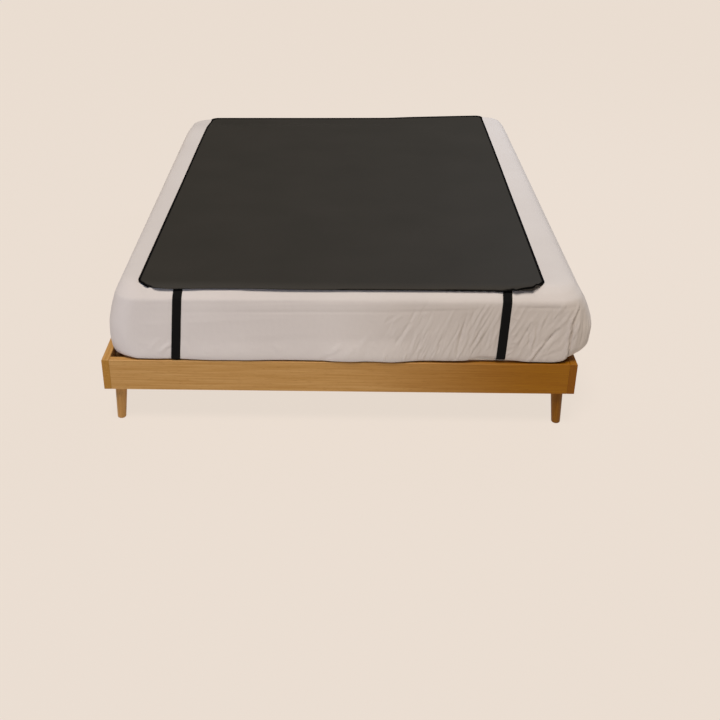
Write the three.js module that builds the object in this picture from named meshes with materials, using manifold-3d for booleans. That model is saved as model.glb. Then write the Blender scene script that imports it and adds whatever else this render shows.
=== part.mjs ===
import * as THREE from 'three';
import Module from 'manifold-3d';
import { mergeVertices } from 'three/addons/utils/BufferGeometryUtils.js';

// A grounding mat on a bed. The mat is one charcoal panel with a black bound edge. Two elastic straps are
// sewn under its ends and pass round the mattress, which wears a fitted sheet and lies in a low oak frame.
// Millimetres, +Z up, and the foot end of the bed faces -Y. Left and right are as seen from the foot end, so
// right is +X. Places are given from the middle of the bed frame, and at the end the whole is moved so that
// the origin is on the floor under the middle of all that is built.

// Clearance between pieces that touch
const GAP = 0.3;

// Bed frame: side rails run the full length, and the end rails fit between them
const FRAME = { width: 1590, length: 2096, board: 25, bottom: 131, top: 244, easedEdge: 1.5 };
const INNER = { halfWidth: FRAME.width / 2 - FRAME.board, halfLength: FRAME.length / 2 - FRAME.board };
const LEG = { topRadius: 20.5, footRadius: 15, insetX: 50.5, insetY: 38, splayX: 9, splayY: 3, sides: 20,
  bevel: 3 };
const BLOCK = { side: 80, height: 34 };
const SLATS = { count: 13, width: 90, thickness: 18, top: 216.3, endGap: 70 };
const LEDGE = { width: 30, height: 31 };
const BEAM = { width: 60, height: 49, legSpacing: 700 };

// Fitted sheet. Each row is one level of its middle surface, from the crown of the mattress down to the
// underside: its height, how far it reaches to each side of the frame's middle, and its corner radius seen
// from above. The mattress lies a little to the right in the frame and bulges over the right rail.
const SHEET = { thickness: 1.5, hemWidth: 110, crown: 509 };
const FORM = [
  { z: 509, left: 690, right: 742, foot: 980, head: 980, corner: 62 },
  { z: 506, left: 706, right: 758, foot: 996, head: 996, corner: 68 },
  { z: 498, left: 721, right: 773, foot: 1010, head: 1011, corner: 74 },
  { z: 485, left: 730, right: 784, foot: 1022, head: 1022, corner: 79 },
  { z: 469, left: 737, right: 796, foot: 1030, head: 1028, corner: 83 },
  { z: 440, left: 750, right: 813, foot: 1038, head: 1034, corner: 86 },
  { z: 400, left: 762, right: 828, foot: 1042, head: 1038, corner: 88 },
  { z: 350, left: 772, right: 842, foot: 1045, head: 1040, corner: 90 },
  { z: 300, left: 774, right: 840, foot: 1046, head: 1040, corner: 92 },
  { z: 270, left: 771, right: 822, foot: 1046, head: 1040, corner: 92 },
  { z: 255, left: 767, right: 796, foot: 1044, head: 1038, corner: 92 },
  { z: 249.4, left: 765, right: 774, foot: 1036, head: 1030, corner: 88 },
  { z: 248.6, left: 764, right: 765, foot: 1018, head: 1017, corner: 84 },
  { z: 232, left: 758, right: 760, foot: 1014, head: 1013, corner: 80 },
  { z: 219.15, left: 744, right: 746, foot: 1001, head: 1000, corner: 70 },
];
// The crown is flat inside these insets, and soft towards the head end, where it sags most at the left
const CROWN_INSETS = [80, 160, 240];
const SAG = { start: 740, end: 980, fadeZ: 300, heights: [
  { x: -760, z: -21 },
  { x: 195, z: -17 },
  { x: 760, z: -2 },
] };
const CORNER_STEPS = 4;
const END_STEPS = 8;
const SIDE_STATIONS = [-740, -250, 250, 740];
const STATION_MARGIN = 20;

const MATTRESS = { clearance: 0.4, bottom: 220.3 };

// Grounding mat: its middle surface lies a little above the sheet, bends over the foot shoulder of the
// mattress and ends in a bound edge. It is turned by a hair on the bed, which slants its side edges.
const MAT = { halfWidth: 661.5, centreX: 16.2, slant: 0.0112, head: 980, thickness: 2, cornerRadius: 45,
  lift: 3.9, liftZone: 200 };
const BINDING = { depth: 6, cover: 7.2, halfThickness: 2, edge: 1.9, slot: 1.35, slotEnd: 1 };
// Foot edge, in millimetres and degrees: past the start of the shoulder and its own ease the panel bends
// along its reach, up to the steepest slope, and then its last strip turns under the panel (positive) or up
// (negative) by the turn
const SHOULDER = { start: 987, radius: 51.4, turnRadius: 2.8, upRadius: 9, zone: 900 };
const FOOT_EDGE = [
  { x: -662, ease: 4, reach: 24, steepest: 22, turn: 0 },
  { x: -617, ease: 10, reach: 23, steepest: 26, turn: 0 },
  { x: -575, ease: 16, reach: 27, steepest: 36, turn: 160 },
  { x: -90, ease: 16, reach: 27, steepest: 36, turn: 155 },
  { x: -10, ease: 16, reach: 25, steepest: 36, turn: 100 },
  { x: 340, ease: 16, reach: 23, steepest: 36, turn: 96 },
  { x: 440, ease: 16, reach: 24, steepest: 36, turn: 90 },
  { x: 530, ease: 12, reach: 29, steepest: 36, turn: 30 },
  { x: 575, ease: 9, reach: 30, steepest: 36, turn: -25 },
  { x: 625, ease: 6, reach: 30, steepest: 36, turn: -105 },
  { x: 655, ease: 4, reach: 26, steepest: 30, turn: -40 },
  { x: 662, ease: 4, reach: 22, steepest: 26, turn: 0 },
];
// Head edge: how far the panel stands over the sheet, with a soft ridge at the right
const HEAD_LIFT = [
  { x: -662, z: 6.2 },
  { x: 180, z: 6.2 },
  { x: 335, z: 9.5 },
  { x: 500, z: 9 },
  { x: 662, z: 7 },
];
// Columns of the panel, as distances from its middle line between the rounded corners, and as angles in
// the corners
const MAT_COLUMNS = [
  -604, -590, -575, -470, -340, -210, -90, -50, -10, 110, 230, 350, 440, 490, 530, 555, 575, 592, 607];
const CORNER_ANGLES = [0, 20, 40, 60, 75, 90];
// Rows of the panel: shares of the head zone, places along the bed, shares of the foot zone and, at the
// foot edge, distances from the edge along the cloth
const HEAD_ZONE = 60;
const HEAD_ROWS = [0, 0.25, 0.6, 1];
const MAT_ROWS = [860, 740, 420, 80, -260, -600];
const FOOT_ROWS = [1, 0.7, 0.45, 0.25, 0.1];
const EDGE_ROWS = [32, 27, 23, 20, 17, 14.5, 12, 9.5, 7.2, 0];
const FOOT_STEP = 0.5;

// Straps: elastic bands round the mattress, whose middle lines lean a little from top to bottom
const STRAP = { width: 30, thickness: 1.2, clearance: 0.6, underMat: 45 };
const STRAP_LINES = {
  strap_left: { footTop: -523, footBottom: -546, headTop: -506, headBottom: -520 },
  strap_right: { footTop: 546, footBottom: 537, headTop: 566, headBottom: 556 },
};

const material = (color, roughness) => new THREE.MeshStandardMaterial({ color, roughness, metalness: 0 });
const MATERIALS = {
  mat: material('#3a3732', 0.55),
  binding: material('#0f0e0d', 0.8),
  strap: material('#141312', 0.85),
  sheet: material('#d8cdc7', 0.95),
  mattress: material('#e6e1d8', 0.95),
  oak: material('#a8804b', 0.5),
  pine: material('#cdb083', 0.7),
};

const group = new THREE.Group();

function add(name, geometry, slot, place = [0, 0, 0]) {
  const mesh = new THREE.Mesh(geometry, MATERIALS[slot]);
  mesh.name = name;
  mesh.position.set(...place);
  group.add(mesh);
}

const radians = THREE.MathUtils.degToRad;
const clamp = THREE.MathUtils.clamp;

// Straight-line interpolation of one column of a table in another
function lookup(table, key, at, column) {
  const next = table.findIndex((row) => row[key] >= at);
  if (next === 0) return table[0][column];
  if (next < 0) return table.at(-1)[column];
  const [a, b] = [table[next - 1], table[next]];
  return THREE.MathUtils.mapLinear(at, a[key], b[key], a[column], b[column]);
}

// A surface through rows of points. Rows that wrap join their last point to their first, a loop joins the
// last row to the first, and a cap closes the first or last row on its middle point. The faces point up
// where the rows run to the right and follow each other towards the viewer, seen from above.
function surface(rows, { wrap = false, loop = false, capStart = false, capEnd = false } = {}) {
  const points = rows.flat();
  const width = rows[0].length;
  const across = wrap ? width : width - 1;
  const down = loop ? rows.length : rows.length - 1;
  const triangles = [];
  for (let r = 0; r < down; r++) {
    for (let k = 0; k < across; k++) {
      const a = r * width + k;
      const b = r * width + (k + 1) % width;
      const [c, d] = [a, b].map((point) => (point + width) % points.length);
      triangles.push([a, c, d], [a, d, b]);
    }
  }
  const cap = (row, flip) => {
    const centre = points.length;
    const middle = new THREE.Vector3();
    rows[row].forEach((point) => middle.add(point));
    points.push(middle.divideScalar(width));
    for (let k = 0; k < width; k++) {
      const pair = [row * width + k, row * width + (k + 1) % width];
      triangles.push(flip ? [pair[1], pair[0], centre] : [pair[0], pair[1], centre]);
    }
  };
  if (capStart) cap(0, false);
  if (capEnd) cap(rows.length - 1, true);
  return { points, triangles };
}

// Unit normals at the points, each the mean of its faces' normals by area
function normals({ points, triangles }) {
  const sums = points.map(() => new THREE.Vector3());
  for (const [a, b, c] of triangles) {
    const ab = points[b].clone().sub(points[a]);
    const ac = points[c].clone().sub(points[a]);
    const face = ab.cross(ac);
    [a, b, c].forEach((k) => sums[k].add(face));
  }
  return sums.map((sum) => sum.normalize());
}

function shifted(open, distance, up = normals(open)) {
  return open.points.map((point, k) => point.clone().addScaledVector(up[k], distance));
}

function toGeometry(points, triangles) {
  const geometry = new THREE.BufferGeometry();
  geometry.setAttribute('position', new THREE.Float32BufferAttribute(points.flatMap((p) => p.toArray()), 3));
  geometry.setIndex(triangles.flat());
  geometry.computeVertexNormals();
  return geometry;
}

// A sheet of cloth: the surface carried half its thickness to each side, and closed round its open edge
function cloth(open, thickness, up = normals(open)) {
  const count = open.points.length;
  const points = [...shifted(open, thickness / 2, up), ...shifted(open, -thickness / 2, up)];
  const triangles = [...open.triangles];
  const edges = new Set(open.triangles.flatMap(([a, b, c]) => [`${a},${b}`, `${b},${c}`, `${c},${a}`]));
  for (const [a, b, c] of open.triangles) {
    triangles.push([c + count, b + count, a + count]);
    for (const [from, to] of [[a, b], [b, c], [c, a]]) {
      if (edges.has(`${to},${from}`)) continue;
      triangles.push([to, from, from + count], [to, from + count, to + count]);
    }
  }
  return toGeometry(points, triangles);
}

// One solid less another, keeping the largest piece that is left
const wasm = await Module();
wasm.setup();

function toManifold(geometry) {
  const bare = new THREE.BufferGeometry();
  bare.setAttribute('position', geometry.getAttribute('position'));
  bare.setIndex(geometry.getIndex());
  const merged = mergeVertices(bare);
  return new wasm.Manifold(new wasm.Mesh({
    numProp: 3,
    vertProperties: new Float32Array(merged.getAttribute('position').array),
    triVerts: new Uint32Array(merged.getIndex().array),
  }));
}

function cut(geometry, tool) {
  const pieces = toManifold(geometry).subtract(toManifold(tool)).decompose();
  pieces.sort((a, b) => b.volume() - a.volume());
  const mesh = pieces[0].getMesh();
  const result = new THREE.BufferGeometry();
  result.setAttribute('position', new THREE.BufferAttribute(mesh.vertProperties, 3));
  result.setIndex(new THREE.BufferAttribute(mesh.triVerts, 1));
  result.computeVertexNormals();
  return result;
}

// Bed frame
function board(name, size, centre, slot) {
  const ease = FRAME.easedEdge;
  const [x, y, z] = size;
  const outline = new THREE.Shape([[-1, -1], [1, -1], [1, 1], [-1, 1]].map(
    ([i, j]) => new THREE.Vector2(i * (x / 2 - ease), j * (y / 2 - ease))));
  const geometry = new THREE.ExtrudeGeometry(outline, {
    depth: z - 2 * ease, bevelEnabled: true, bevelThickness: ease, bevelSize: ease, bevelSegments: 1 });
  geometry.translate(0, 0, ease - z / 2);
  add(name, geometry, slot, centre);
}

// A round tapered leg, whose foot stands out from its top by the splay
function leg(name, x, y, height, splayX = 0, splayY = 0) {
  const { topRadius, footRadius, bevel } = LEG;
  const profile = [[0, 0], [footRadius - bevel, 0], [footRadius, bevel], [topRadius, height], [0, height]];
  const geometry = new THREE.LatheGeometry(profile.map(([r, z]) => new THREE.Vector2(r, z)), LEG.sides);
  geometry.rotateX(Math.PI / 2);
  geometry.applyMatrix4(new THREE.Matrix4().makeShear(0, 0, 0, 0, -splayX / height, -splayY / height));
  geometry.translate(splayX, splayY, 0);
  add(name, geometry, 'oak', [x, y, 0]);
}

function bedFrame() {
  const { width, length, board: thick, bottom, top } = FRAME;
  const railZ = (bottom + top) / 2;
  const sideX = (width - thick) / 2;
  const endY = (length - thick) / 2;
  board('rail_left', [thick, length, top - bottom], [-sideX, 0, railZ], 'oak');
  board('rail_right', [thick, length, top - bottom], [sideX, 0, railZ], 'oak');
  const endRail = [2 * (INNER.halfWidth - GAP), thick, top - bottom];
  board('rail_foot', endRail, [0, -endY, railZ], 'oak');
  board('rail_head', endRail, [0, endY, railZ], 'oak');

  const ends = [['foot', -1], ['head', 1]];
  const sides = [['left', -1], ['right', 1]];
  for (const [end, sy] of ends) {
    for (const [side, sx] of sides) {
      const blockX = INNER.halfWidth - GAP - BLOCK.side / 2;
      const blockY = INNER.halfLength - GAP - BLOCK.side / 2;
      board(`block_${end}_${side}`, [BLOCK.side, BLOCK.side, BLOCK.height],
        [sx * blockX, sy * blockY, bottom + BLOCK.height / 2], 'pine');
      leg(`leg_${end}_${side}`, sx * (width / 2 - LEG.insetX), sy * (length / 2 - LEG.insetY), bottom - GAP,
        sx * LEG.splayX, sy * LEG.splayY);
    }
  }

  const ledgeTop = SLATS.top - SLATS.thickness - GAP;
  const innerLength = 2 * (INNER.halfLength - GAP);
  for (const [side, sx] of sides) {
    board(`ledge_${side}`, [LEDGE.width, innerLength, LEDGE.height],
      [sx * (INNER.halfWidth - GAP - LEDGE.width / 2), 0, ledgeTop - LEDGE.height / 2], 'pine');
  }
  board('centre_beam', [BEAM.width, innerLength, BEAM.height], [0, 0, ledgeTop - BEAM.height / 2], 'pine');
  for (const [end, sy] of ends) {
    leg(`leg_centre_${end}`, 0, sy * BEAM.legSpacing / 2, ledgeTop - BEAM.height - GAP);
  }

  const span = 2 * (INNER.halfLength - SLATS.endGap) - SLATS.width;
  for (let k = 0; k < SLATS.count; k++) {
    const y = -span / 2 + span * k / (SLATS.count - 1);
    board(`slat_${k + 1}`, [2 * (INNER.halfWidth - GAP), SLATS.width, SLATS.thickness],
      [0, y, SLATS.top - SLATS.thickness / 2], 'pine');
  }
}

// Fitted sheet and mattress
function sag(x, y, z) {
  const along = clamp((y - SAG.start) / (SAG.end - SAG.start), 0, 1);
  const share = clamp((z - SAG.fadeZ) / (SHEET.crown - SAG.fadeZ), 0, 1);
  return lookup(SAG.heights, 'x', x, 'z') * along * share;
}

// One level of the sheet: a rectangle with rounded corners, anticlockwise from above
function ring({ z, left, right, foot, head, corner }, inset = 0) {
  const radius = corner;
  const box = { x0: -left + inset, x1: right - inset, y0: -foot + inset, y1: head - inset };
  const outline = [];
  const arc = (cx, cy, from) => {
    for (let k = 0; k <= CORNER_STEPS; k++) {
      const angle = radians(from + 90 * k / CORNER_STEPS);
      outline.push([cx + radius * Math.cos(angle), cy + radius * Math.sin(angle)]);
    }
  };
  const across = [];
  for (let k = 1; k < END_STEPS; k++) {
    across.push(THREE.MathUtils.lerp(box.x0 + radius, box.x1 - radius, k / END_STEPS));
  }
  const ends = radius + STATION_MARGIN;
  const along = SIDE_STATIONS.map((y) => clamp(y, box.y0 + ends, box.y1 - ends));
  across.forEach((x) => outline.push([x, box.y0]));
  arc(box.x1 - radius, box.y0 + radius, -90);
  along.forEach((y) => outline.push([box.x1, y]));
  arc(box.x1 - radius, box.y1 - radius, 0);
  across.toReversed().forEach((x) => outline.push([x, box.y1]));
  arc(box.x0 + radius, box.y1 - radius, 90);
  along.toReversed().forEach((y) => outline.push([box.x0, y]));
  arc(box.x0 + radius, box.y0 + radius, 180);
  return outline.map(([x, y]) => new THREE.Vector3(x, y, z + sag(x, y, z)));
}

function crownAndSides() {
  const insets = CROWN_INSETS.toReversed().map((inset) => ring(FORM[0], inset));
  return [...insets, ...FORM.map((row) => ring(row))];
}

function bedding() {
  const levels = crownAndSides();
  const hem = ring(FORM.at(-1), SHEET.hemWidth);
  const open = surface([...levels, hem], { wrap: true, capStart: true });
  add('fitted_sheet', cloth(open, SHEET.thickness), 'sheet');

  const closed = surface(levels, { wrap: true, capStart: true, capEnd: true });
  const points = shifted(closed, -(SHEET.thickness / 2 + MATTRESS.clearance));
  points.forEach((point) => {
    point.z = Math.max(point.z, MATTRESS.bottom);
  });
  add('mattress', toGeometry(points, closed.triangles), 'mattress');
}

// Grounding mat
function footEdge(x) {
  const turn = radians(lookup(FOOT_EDGE, 'x', x, 'turn'));
  const radius = turn > 0 ? SHOULDER.turnRadius : SHOULDER.upRadius;
  const arc = Math.abs(turn) * radius;
  const [ease, reach, steepest] = ['ease', 'reach', 'steepest'].map((key) => lookup(FOOT_EDGE, 'x', x, key));
  return { ease, reach, steepest: radians(steepest), turn, arc, strip: arc + BINDING.cover };
}

function cornerCut(x) {
  const radius = MAT.cornerRadius;
  const along = Math.max(radius - (MAT.halfWidth - Math.abs(x)), 0);
  return radius - Math.sqrt(Math.max(radius ** 2 - along ** 2, 0));
}

const worldX = (x, y) => MAT.centreX + x + MAT.slant * y;

function panelHeight(x, y) {
  const along = clamp((y - MAT.head + MAT.liftZone) / MAT.liftZone, 0, 1);
  const lift = THREE.MathUtils.lerp(MAT.lift, lookup(HEAD_LIFT, 'x', x, 'z'), along);
  return SHEET.crown + sag(worldX(x, y), y, SHEET.crown) + lift;
}

// The part of one column that bends over the foot shoulder: short steps are added up, and each has the
// slope of the shoulder so far plus the turn of the edge. Every point comes with its upward direction.
function footColumn(x) {
  const { ease, reach, steepest, turn, arc, strip } = footEdge(x);
  const bendStart = SHOULDER.start + ease - SHOULDER.zone;
  const length = bendStart + reach + strip - cornerCut(x);
  const edgeZone = EDGE_ROWS[0];
  const distances = [...FOOT_ROWS.map((share) => edgeZone + share * (length - edgeZone)), ...EDGE_ROWS];
  const angleAt = (along) => {
    const bend = clamp((along - bendStart) / SHOULDER.radius, 0, steepest);
    const turned = arc > 0 ? clamp((strip - (length - along)) / arc, 0, 1) : 0;
    return bend + turn * turned;
  };
  const column = [];
  let [y, z] = [-SHOULDER.zone, panelHeight(x, -SHOULDER.zone)];
  let walked = 0;
  for (const distance of distances) {
    const steps = Math.max(Math.ceil((length - distance - walked) / FOOT_STEP), 1);
    const step = (length - distance - walked) / steps;
    for (let k = 0; k < steps; k++) {
      const angle = angleAt(walked + step / 2);
      y -= step * Math.cos(angle);
      z -= step * Math.sin(angle);
      walked += step;
    }
    const angle = angleAt(walked);
    const up = new THREE.Vector3(0, -Math.sin(angle), Math.cos(angle));
    column.push({ point: new THREE.Vector3(worldX(x, y), y, z), up });
  }
  return column;
}

function panelColumn(x) {
  const start = MAT.head - cornerCut(x);
  const headRows = HEAD_ROWS.map((share) => THREE.MathUtils.lerp(start, MAT.head - HEAD_ZONE, share));
  const up = new THREE.Vector3(0, 0, 1);
  const flat = [...headRows, ...MAT_ROWS].map((y) => (
    { point: new THREE.Vector3(worldX(x, y), y, panelHeight(x, y)), up }));
  return [...flat, ...footColumn(x)];
}

function panelSurface() {
  const corner = CORNER_ANGLES.map((angle) =>
    MAT.halfWidth - MAT.cornerRadius + MAT.cornerRadius * Math.cos(radians(angle)));
  const columns = [...corner.map((x) => -x), ...MAT_COLUMNS, ...corner.toReversed()].map(panelColumn);
  const rows = columns[0].map((_, r) => columns.map((column) => column[r].point));
  const up = columns[0].flatMap((_, r) => columns.map((column) => column[r].up));
  return { rows, open: surface(rows), up };
}

// The binding tape is folded over the edge of the panel: a U-shaped section carried round its outline
function binding({ rows, open, up }) {
  const width = rows[0].length;
  const last = rows.length - 1;
  const foot = rows[last].map((_, k) => last * width + k);
  const right = rows.slice(1, -1).map((_, r) => (last - 1 - r) * width + width - 1);
  const head = rows[0].map((_, k) => width - 1 - k);
  const left = rows.slice(1, -1).map((_, r) => (r + 1) * width);
  const outline = [...foot, ...right, ...head, ...left];
  const { depth, halfThickness, edge, slot, slotEnd } = BINDING;
  const section = [
    [-depth, slot], [slotEnd, slot], [slotEnd, -slot], [-depth, -slot], [-depth, -halfThickness],
    [slotEnd, -halfThickness], [edge, 0], [slotEnd, halfThickness], [-depth, halfThickness],
  ];
  const rings = outline.map((index, k) => {
    const before = open.points[outline.at(k - 1)];
    const after = open.points[outline[(k + 1) % outline.length]];
    const outward = after.clone().sub(before).cross(up[index]).normalize();
    return section.map(([out, high]) => open.points[index].clone()
      .addScaledVector(outward, out).addScaledVector(up[index], high));
  });
  const swept = surface(rings, { wrap: true, loop: true });
  return cut(toGeometry(swept.points, swept.triangles), cloth(open, MAT.thickness + 2 * GAP, up));
}

function mat() {
  const panel = panelSurface();
  add('mat', cloth(panel.open, MAT.thickness, panel.up), 'mat');
  add('mat_binding', binding(panel), 'binding');
}

// Straps: each follows the sheet's outline from under the mat's foot edge, down, below the mattress and up
// to the mat's head edge. The outline is moved out so that the band lies on the sheet.
function strap(name) {
  const line = STRAP_LINES[name];
  const crown = FORM[0];
  const levels = [crown.z, FORM.at(-1).z];
  const path = [[-(crown.foot - STRAP.underMat), crown.z, line.footTop]];
  for (const row of FORM) {
    path.push([-row.foot, row.z, THREE.MathUtils.mapLinear(row.z, ...levels, line.footTop, line.footBottom)]);
  }
  for (const row of FORM.toReversed()) {
    path.push([row.head, row.z, THREE.MathUtils.mapLinear(row.z, ...levels, line.headTop, line.headBottom)]);
  }
  path.push([crown.head - STRAP.underMat, crown.z, line.headTop]);
  const middle = path.map(([y, z, x]) => new THREE.Vector3(x, y, z + sag(x, y, z)));
  const runs = middle.slice(1).map((point, k) => point.clone().sub(middle[k]).setX(0).normalize());
  const offset = SHEET.thickness / 2 + STRAP.clearance + STRAP.thickness / 2;
  const rows = middle.map((point, k) => {
    const after = runs[Math.min(k, runs.length - 1)];
    const along = runs[Math.max(k - 1, 0)].clone().add(after).normalize();
    const out = offset / along.dot(after);
    const { x, y, z } = point.clone().add(new THREE.Vector3(0, along.z * out, -along.y * out));
    return [-1, 1].map((side) => new THREE.Vector3(x + side * STRAP.width / 2, y, z));
  });
  add(name, cloth(surface(rows), STRAP.thickness), 'strap');
}

bedFrame();
bedding();
mat();
Object.keys(STRAP_LINES).forEach(strap);

const whole = new THREE.Box3().setFromObject(group, true);
const middle = whole.getCenter(new THREE.Vector3());
group.position.set(-middle.x, -middle.y, 0);

export default group;
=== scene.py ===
"""A charcoal grounding mat on a bed. The mat is a leatherette panel with a folded edge tape, held by two
ribbed elastic straps over a mattress in a washed cotton fitted sheet, on a low oak bed frame with turned
legs.

Shapes are worked out in millimetres from the middle of the bed frame, with the foot end towards -Y, and put()
moves them into the frame's metres.
"""

import math

import bpy
import numpy as np
from mathutils import Matrix, Vector


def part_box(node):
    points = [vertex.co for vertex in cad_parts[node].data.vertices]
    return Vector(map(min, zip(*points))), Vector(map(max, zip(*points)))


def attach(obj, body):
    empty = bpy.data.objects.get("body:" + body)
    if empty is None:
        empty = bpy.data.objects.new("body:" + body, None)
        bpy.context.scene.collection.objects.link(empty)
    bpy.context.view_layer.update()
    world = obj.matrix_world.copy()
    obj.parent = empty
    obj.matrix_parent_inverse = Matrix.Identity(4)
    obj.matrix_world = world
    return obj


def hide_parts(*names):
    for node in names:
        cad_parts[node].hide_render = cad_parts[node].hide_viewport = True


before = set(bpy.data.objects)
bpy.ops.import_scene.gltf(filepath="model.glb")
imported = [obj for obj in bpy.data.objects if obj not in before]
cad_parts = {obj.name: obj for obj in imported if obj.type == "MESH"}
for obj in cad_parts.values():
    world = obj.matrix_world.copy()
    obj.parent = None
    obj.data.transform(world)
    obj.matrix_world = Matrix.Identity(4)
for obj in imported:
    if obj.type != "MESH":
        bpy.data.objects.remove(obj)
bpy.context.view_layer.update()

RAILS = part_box("rail_left")[0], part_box("rail_right")[1]
MIDDLE = np.array([(RAILS[0].x + RAILS[1].x) / 2, (RAILS[0].y + RAILS[1].y) / 2, 0.0])


def table(names, *rows):
    """A short table as one array for each named column."""
    return dict(zip(names.split(), np.array(rows, float).T))


# The columns of a table of creases: both ends of a line, how far it bows, and how wide and high the crease is
CREASE = "a0 b0 a1 b1 bow width rise"

# Camera: where it stands, which way it looks and its focal length over a 36 mm sensor
CAMERA = dict(place=(2.3, -4066.6, 1913.4), pitch=28.813, yaw=1.816, roll=-0.291, lens=51.69, shift=0.0694)

# The fitted sheet's middle surface, from the crown of the mattress down to its underside: height, reach to
# each side of the frame's middle, and the radius of its corners seen from above
FORM = table(
    "z left right foot head corner",
    (509, 690, 742, 981, 980, 62),
    (506, 706, 758, 995.5, 996, 68),
    (498, 721, 773, 1008.5, 1011, 74),
    (486, 729, 783, 1022, 1022, 79),
    (474, 736, 793, 1034.5, 1028, 83),
    (467, 740, 797, 1040.5, 1030, 84),
    (458, 744, 802, 1042, 1031, 85),
    (434, 752, 815, 1042.8, 1034, 86),
    (426, 755, 818, 1043, 1036, 87),
    (400, 762, 828, 1044, 1038, 88),
    (350, 772, 842, 1045.5, 1040, 90),
    (300, 774, 840, 1046, 1040, 92),
    (270, 771, 822, 1046, 1040, 92),
    (255, 767, 796, 1044, 1038, 92),
    (249.4, 765, 774, 1036, 1030, 88),
    (248.6, 764, 765, 1018, 1017, 84),
    (232, 758, 760, 1008, 1008, 80),
    (219.15, 744, 746, 1001, 1000, 70),
)
SIDES = "left", "right", "foot", "head"
CROWN = 509
SHEET = dict(thickness=1.5, hem=110, crown_insets=(240, 150, 80, 40, 15))
SAG = dict(start=740, end=980, fade=300)
SAG_HEIGHTS = table("x z", (-760, -21), (195, -17), (760, -2))

# The mat: a panel with rounded corners, turned by a hair on the bed
MAT = dict(half_width=661.5, centre=16.2, slant=0.0112, head=980, thickness=2, corner=45, head_corner=30,
           lift=3.9, lift_zone=200, curl=4.5, curl_width=10)
SHOULDER = dict(start=988.5, radius=42, turn_radius=1.7, up_radius=4, zone=900)
COVER = 7.2
# Where the foot edge starts to bend, how far it goes on, its steepest slope, the turn of its last strip under
# or up, and how much wider than the tape that strip is
FOOT_EDGE = table(
    "x ease reach steepest turn extra",
    (-662, -4, 33, 20, 0, 0),
    (-654, -4, 29, 22, 0, 0),
    (-645, -3, 24.6, 26, 0, 0),
    (-636, -1, 24.6, 28, 8, 0),
    (-622, 2, 21.6, 30, 66, 0),
    (-604, 7, 28.4, 36, 130, 0),
    (-586, 8, 30.2, 39, 160, 0),
    (-566, 7, 31.7, 42, 172, 0),
    (-545, 5, 33.2, 45, 174, 0),
    (-500, 5, 32.4, 46, 174, 0),
    (-440, 1.5, 33.3, 48, 176, 0),
    (-330, 1, 33, 48, 176, 0),
    (-290, 6, 30, 48, 135, 0),
    (-150, 7, 30.9, 48, 125, 0),
    (-30, 7, 30.4, 48, 118, 0),
    (0, 8.5, 27.8, 48, 98, 0),
    (327, 8.5, 26.3, 48, 94, 0),
    (360, 8.5, 25.4, 48, 78, 0),
    (500, 8, 26.4, 47, 74, 0),
    (520, 9.5, 26.6, 46, 70, 0),
    (541, 9.5, 22.9, 46, 62, 0),
    (553, 7, 22.7, 45, 20, 0),
    (562, 2, 27.3, 44, -40, 0),
    (572, 0, 32.1, 44, -95, 1),
    (583, -2, 32.8, 44, -108, 2.6),
    (596, -3, 33.1, 44, -112, 4.6),
    (617, -4, 33.5, 43, -112, 8.5),
    (629, -4.5, 27.4, 42, -112, 9.5),
    (636, -5, 25, 38, -100, 4),
    (643, -5, 22.1, 34, -70, 0.5),
    (655, -6, 22.1, 30, -30, 0),
    (662, -6, 30, 26, 0, 0),
)
HEAD_LIFT = table("x z", (-662, 3.9), (180, 3.9), (335, 6.5), (500, 6), (662, 4.5))
# Small puckers of the panel at its foot edge, from one point to another on the mat
PUCKERS = table(
    CREASE,
    (-326, -1040, -306, -985, 3, 8, -1.6),
    (-308, -1042, -290, -1000, 2, 7, 1.3),
    (-14, -1042, -4, -992, 2, 8, -1.8),
    (4, -1042, 22, -1004, 2, 8, 1.5),
    (96, -1040, 108, -1010, 0, 9, 1.0),
    (268, -1040, 280, -1015, 0, 8, 0.9),
    (600, -330, 655, -345, 4, 9, 0.7),
    (604, -250, 655, -262, 3, 9, 0.6),
)
SCALLOPS = table("x swing", (327, 0), (350, 8), (520, 8), (540, 0))
SCALLOP_PITCH = 27

# The press and sink are the half width and depth of the trough that a strap makes in the sheet
STRAP = dict(width=30, thickness=1.2, clearance=0.6, under_mat=45, rib=2.5, rib_height=0.22, press=19,
             sink=1.2)
STRAPS = {
    "strap_left": dict(foot_top=-523, foot_bottom=-546, head_top=-506, head_bottom=-520),
    "strap_right": dict(foot_top=546, foot_bottom=537, head_top=566, head_bottom=556),
}

# How the sheet hangs over the foot rail: how far its lowest fold stands out and up from the plain form
HEM = table(
    "x out up",
    (-760, 0, 2), (-734, 0, 4), (-700, 0, 3), (-670, 2, -1), (-600, 3, -1), (-560, 2, -1), (-520, 3, -1.5),
    (-412, 6, -3), (-331, 6, -3), (-197, 3, -1.5), (-63, 4, -1.5), (-9, 7, -3), (44, 9, -3), (98, 6, -2.5),
    (178, 9, -3), (232, 5, -1.5), (286, 1, -0.5), (340, 2, 1), (420, 1, 2), (447, 0, 8), (474, -2, 14),
    (500, -1, 13), (540, 0, 7), (581, 0, 4), (635, 1, -1), (690, 2, -1), (735, 2, -2), (752, 1, 0),
    (760, 0, 9), (775, 0, 13), (800, 0, 10), (850, 0, 4),
)

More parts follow.
